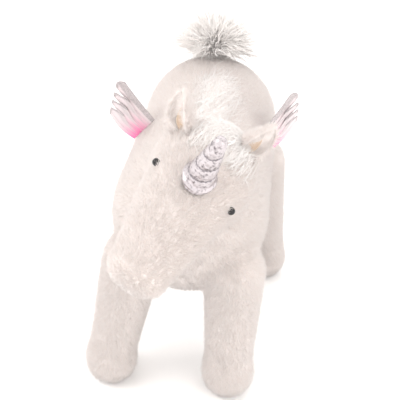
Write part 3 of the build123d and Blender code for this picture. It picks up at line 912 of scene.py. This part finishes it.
# ---- Tail -----------------------------------------------------------------------------------------------
# A short stuffed stub of plush with a pompom of long loose pile, which stands out in spiky locks.
tail_pivot = np.array(joints["tail_wag"]["pos_m"])
tail_tilt = np.radians(22.0)
tail_up = np.array([0.0, np.sin(tail_tilt), np.cos(tail_tilt)])
tail_stub = 0.020
tail_radius = 0.0125
plume_height = 0.017        # of its middle, up the stub
lock_foot = 0.011           # from that middle
down_foot = 0.009
lock_spread = 0.0042
long_whites = [
    plain_material(f"long_white_{tone}", colour, 0.6, 0.0, 0.1)
    for tone, colour in enumerate(((0.988, 0.972, 0.960), (0.980, 0.955, 0.940), (0.965, 0.928, 0.908)))
]
long_shares = (0.55, 0.33, 0.12)


def lock_mesh(name, lines, half_width, tones):
    """Tapered three-sided hairs along lines of points: ring k = p(t) + w (1 - t)^0.6 (e cos + f sin)."""
    count, steps = lines.shape[:2]
    along = unit(np.gradient(lines, axis=1))
    guide = np.array([0.31, 0.17, 0.93])
    e = unit(np.cross(along, guide))
    f = np.cross(along, e)
    t = np.linspace(0, 1, steps)
    width = half_width * (1 - 0.96 * t**1.6)[None, :, None, None]
    turns = 2 * np.pi * np.arange(3) / 3
    around_it = np.cos(turns)[:, None] * e[:, :, None] + np.sin(turns)[:, None] * f[:, :, None]
    points = (lines[:, :, None] + width * around_it).reshape(-1, 3)
    base = (np.arange(count) * steps * 3)[:, None, None] + (np.arange(steps - 1) * 3)[None, :, None]
    now = base + np.arange(3)
    then = base + (np.arange(3) + 1) % 3
    sides = np.stack([now, then, then + 3, now + 3], axis=-1).reshape(-1, 4)
    first = (np.arange(count) * steps * 3)[:, None]
    last = first + (steps - 1) * 3
    ends = np.concatenate([first + np.array([2, 1, 0]), last + np.array([0, 1, 2])])
    tone_of = np.concatenate([np.repeat(tones, (steps - 1) * 3), tones, tones])
    loops = np.concatenate([sides.reshape(-1), ends.reshape(-1)])
    sizes = np.repeat([4, 3], [len(sides), len(ends)])
    return built_mesh(name, points, loops, sizes, tone_of)


def long_pile(name, roots, start_way, end_way, length, gather, half_width=0.00042, steps=7):
    """Locks: p(t) = root + L (t d0 + t^2 (d1 - d0) / 2) + t g + a t sin(w t + f) side, in bunches by g."""
    count = len(roots)
    t = np.linspace(0, 1, steps)[None, :, None]
    start_way, end_way = unit(start_way)[:, None], unit(end_way)[:, None]
    bow = t * start_way + t**2 / 2 * (end_way - start_way)
    side = unit(rng.normal(size=(count, 1, 3)))
    wander = 0.05 * t * np.sin(4 * t + 6.3 * rng.random((count, 1, 1))) * side
    lines = roots[:, None] + length[:, None, None] * (bow + wander) + t * gather[:, None]
    lines[..., 2] = np.maximum(lines[..., 2], 0.001)
    tones = rng.choice(len(long_whites), size=count, p=long_shares)
    piece = place_piece(name, lock_mesh(name, lines, half_width, tones), long_whites, smooth=True)
    return piece


stub = ball_cone_grid(
    tail_pivot, tail_pivot + tail_stub * tail_up, tail_radius, tail_radius - 0.001, 44,
    np.linspace(0, 2 * np.pi, 48, endpoint=False),
)
stub_skin = cloth("tail_stub_panel", stub, backing, ring=True, poles=True)
stub_pile = pile(
    "tail_stub_pile", stub, combed(tail_up), ring=True,
    way=lambda p: p - tail_pivot - 0.5 * tail_stub * tail_up, length=0.010,
)
for piece in (stub_skin, stub_pile):
    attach(piece, "tail")
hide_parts("tail_cover", "tail_stuffing")

tail_locks = 130
hairs_per_lock = 14
turn_round = rng.uniform(0, 2 * np.pi, tail_locks)
rise = np.arcsin(rng.uniform(-0.28, 1.0, tail_locks))
level = np.array([1.0, 0.0, 0.0])
forward = np.cross(tail_up, level)
lock_way = (
    np.cos(rise)[:, None] * (np.cos(turn_round)[:, None] * level + np.sin(turn_round)[:, None] * forward)
    + np.sin(rise)[:, None] * tail_up
)
lock_length = rng.uniform(0.038, 0.080, tail_locks) * (0.66 + 0.34 * np.abs(np.cos(turn_round)))
own_lock = np.repeat(np.arange(tail_locks), hairs_per_lock)
spread = rng.normal(0.0, lock_spread, (len(own_lock), 3))
plume_middle = tail_pivot + plume_height * tail_up
hair_roots = plume_middle + lock_foot * lock_way[own_lock] + spread
tail_plume = long_pile(
    "tail_plume_locks", hair_roots,
    unit(lock_way[own_lock] + 0.35 * tail_up) + 0.22 * rng.normal(size=(len(own_lock), 3)),
    lock_way[own_lock] - np.array([0.0, 0.0, 0.25]) + 0.12 * rng.normal(size=(len(own_lock), 3)),
    lock_length[own_lock] * rng.uniform(0.62, 1.05, len(own_lock)), -0.75 * spread, half_width=0.00080,
)
down_count = 3000
down_way = unit(rng.normal(size=(down_count, 3)) + 0.55 * tail_up)
tail_down = long_pile(
    "tail_plume_down", plume_middle + down_foot * down_way, down_way,
    down_way + 0.4 * rng.normal(size=(down_count, 3)), rng.uniform(0.014, 0.032, down_count),
    np.zeros((down_count, 3)), half_width=0.00040, steps=4,
)
for piece in (tail_plume, tail_down):
    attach(piece, "tail")
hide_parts("tail_plume")

# ---- Mane and forelock ----------------------------------------------------------------------------------
# A strip of longer white pile let into the seam of the back, brushed to the left and back, and a tuft of
# the same pile on the poll between the ears.
mane_hairs = 2300
mane_start = np.array([0.016, -0.046])
mane_end = np.array([0.012, 0.088])
mane_half_width = 0.011
mane_high = 0.40


def drop_on_form(flat, from_height=mane_high):
    """Points straight below (x, y) on the stuffed form, found by walking down its signed distance."""
    points = np.concatenate([flat, np.full((len(flat), 1), from_height)], axis=1)
    for _ in range(30):
        points[:, 2] -= 0.8 * form_depth(points)
    return points


share = rng.random(mane_hairs)[:, None]
flat = mane_start + share * (mane_end - mane_start) + rng.normal(0, mane_half_width, (mane_hairs, 2))
mane_roots = drop_on_form(flat)
mane_normal = unit(slope_of(form_depth, mane_roots))
wave = np.sin(120 * mane_roots[:, :1] + 70 * mane_roots[:, 1:2])
brush = np.array([[0.35, 1.0, 0.0]]) + 0.15 * wave * np.array([[1.0, 0.0, 0.0]])
brush = brush + 0.40 * rng.normal(size=(mane_hairs, 3))
brush = unit(brush - (brush * mane_normal).sum(1, keepdims=True) * mane_normal)
mane = long_pile(
    "mane_locks", mane_roots, brush + 0.45 * mane_normal, brush - 0.35 * mane_normal,
    rng.uniform(0.016, 0.028, mane_hairs), np.zeros((mane_hairs, 3)), steps=5,
)
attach(mane, "torso")
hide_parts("mane")

poll_hairs = 1300
spot = np.stack([
    rng.normal(0, 0.012, poll_hairs), rng.uniform(-0.004, 0.046, poll_hairs), np.full(poll_hairs, 0.03)
], axis=1)
poll_way = unit(spot)
poll_roots = head_world(poll_way * skull_radius)
poll_normal = poll_way @ head_turn.T
poll_brush = np.array([[0.25, 1.0, 0.15]]) + 0.45 * rng.normal(size=(poll_hairs, 3))
poll_brush = poll_brush @ head_turn.T
poll_brush = unit(poll_brush - (poll_brush * poll_normal).sum(1, keepdims=True) * poll_normal)
forelock = long_pile(
    "forelock_locks", poll_roots, poll_brush + 0.5 * poll_normal, poll_brush - 0.2 * poll_normal,
    rng.uniform(0.014, 0.026, poll_hairs), np.zeros((poll_hairs, 3)), steps=5,
)
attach(forelock, "head")
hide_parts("forelock")

# ---- Wings ----------------------------------------------------------------------------------------------
# Two faces of pale pink cloth over a stiff core, cut in feathers and printed with silver ribs, a glitter
# edge and a hot pink root. The root is sewn to the side of the back.
wing_rows = 120
wing_columns = 130
wing_half_chord = 0.0205
wing_thickness = 0.0011
wing_sink = 0.004               # how deep the root goes into the pile
print_height = 0.0002
# Each wing: how far round the barrel its root lies from the top, and the way it leans.
wing_ways = {
    "left": (np.radians(66.0), np.array([0.43, 0.10, 0.88])),
    "right": (np.radians(-49.0), np.array([-0.65, -0.10, 0.75])),
}
lead_length = 0.064
trail_length = 0.043
feather_notches = ((0.31, 0.36, 0.040), (0.53, 0.40, 0.036), (0.75, 0.38, 0.040))
rib_count = 9


def wing_grid(u, v):
    """The wing in its own plane: x across from the leading edge, y outwards, z its billow.

    Rib v runs from its place on the root by u times its own length, which notches cut short, and the whole
    fan bows towards the leading edge by u^2.
    """
    length = lead_length + (trail_length - lead_length) * v
    length = length * (1 - 0.16 * np.clip(1 - v / 0.16, 0, 1) ** 2)
    for place, depth, half_width in feather_notches:
        length = length * (1 - depth * np.exp(-(((v - place) / half_width) ** 2)))
    x = wing_half_chord * (2 * v - 1) * (1 - 0.06 * u) - 0.008 * u + 0.006 * np.sin(np.pi * u) * (v - 0.3)
    billow = 0.0030 * np.sin(np.pi * v) * u + 0.0002 * np.cos(2 * np.pi * rib_count * v) * u
    return np.stack([x - 0.010 * u**2 * (1 - v), length * u, billow], axis=-1)


def wing_material():
    """Pale pink sheer cloth, hot pink by the attribute blush and silver glitter by the attribute silver."""
    material = plain_material("wing_cloth", (0.80, 0.70, 0.72), 0.45, 0.15, 0.3)
    shader = material.node_tree.nodes["Principled BSDF"]
    blush = node(material, "ShaderNodeAttribute")
    blush.attribute_name = "blush"
    silver = node(material, "ShaderNodeAttribute")
    silver.attribute_name = "silver"
    pink = node(material, "ShaderNodeMix")
    pink.data_type = "RGBA"
    pink.inputs["A"].default_value = (0.72, 0.64, 0.66, 1.0)
    pink.inputs["B"].default_value = (0.88, 0.20, 0.44, 1.0)
    glitter = texture(material, "ShaderNodeTexVoronoi", Scale=1400.0)
    greys = node(material, "ShaderNodeValToRGB")
    greys.color_ramp.elements[0].color = (0.30, 0.27, 0.28, 1.0)
    greys.color_ramp.elements[1].color = (0.62, 0.57, 0.58, 1.0)
    printed = node(material, "ShaderNodeMix")
    printed.data_type = "RGBA"
    join(material, glitter, "Color", greys, "Fac")
    join(material, blush, "Fac", pink, "Factor")
    join(material, pink, "Result", printed, "A")
    join(material, greys, "Color", printed, "B")
    join(material, silver, "Fac", printed, "Factor")
    join(material, printed, "Result", shader, "Base Color")
    bumped(material, glitter, "Distance", 0.5, 0.0004)
    return material


wing_cloth = wing_material()
for side, (wing_angle, lean) in wing_ways.items():
    hinge = np.array(joints[f"wing_{side}_fold"]["pos_m"])
    lead_way = -unit(np.array(joints[f"wing_{side}_fold"]["axis"]))
    along = unit(lean - (lean @ lead_way) * lead_way)
    face_way = unit(np.cross(lead_way, along))
    face_way = face_way * (1 if face_way[1] < 0 else -1)
    u, v = np.meshgrid(
        np.linspace(0, 1, wing_rows), np.linspace(0, 1, wing_columns), indexing="ij"
    )
    own = wing_grid(u, v)
    out = np.array([np.sin(wing_angle), 0.0, np.cos(wing_angle)])
    middle = hinge - wing_sink * out
    sheet = (
        middle
        - own[..., :1] * lead_way
        + own[..., 1:2] * along
        + own[..., 2:] * face_way
    )
    rib = np.exp(-(((v * rib_count - np.round(v * rib_count)) / 0.11) ** 2))
    edge = np.clip((0.15 - v) / 0.03, 0, 1)
    ends = np.clip((u - 0.90) / 0.06, 0, 1)
    silver = np.clip(np.maximum(np.maximum(0.65 * rib * np.clip(u / 0.2, 0, 1), edge), ends), 0, 1)
    blush = np.exp(-((u / 0.34) ** 2)) * np.clip((v - 0.15) / 0.5, 0, 1)
    sheet = sheet + print_height * silver[..., None] * face_way
    hem = np.where((u == 0) | (u == 1), 0.5, 0.04)[..., None]
    for face_name, offset in (("front", 1), ("back", -1)):
        one = sheet + 0.5 * offset * wing_thickness * face_way
        two = sheet + hem * offset * wing_thickness * face_way
        stack = np.concatenate([one, two[:, ::-1], one[:, :1]], axis=1)
        mesh = grid_mesh(f"wing_{side}_{face_name}_cloth", stack)
        for label, value in (("silver", silver), ("blush", blush)):
            layer = mesh.attributes.new(label, "FLOAT", "POINT")
            whole = np.concatenate([value, value[:, ::-1], value[:, :1]], axis=1)
            layer.data.foreach_set("value", whole.reshape(-1).astype(np.float32))
        piece = weld(place_piece(f"wing_{side}_{face_name}_cloth", mesh, wing_cloth))
        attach(piece, f"wing_{side}")
        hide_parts(f"wing_{side}_{face_name}")
        if face_name == "front":
            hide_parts(f"wing_{side}_core")
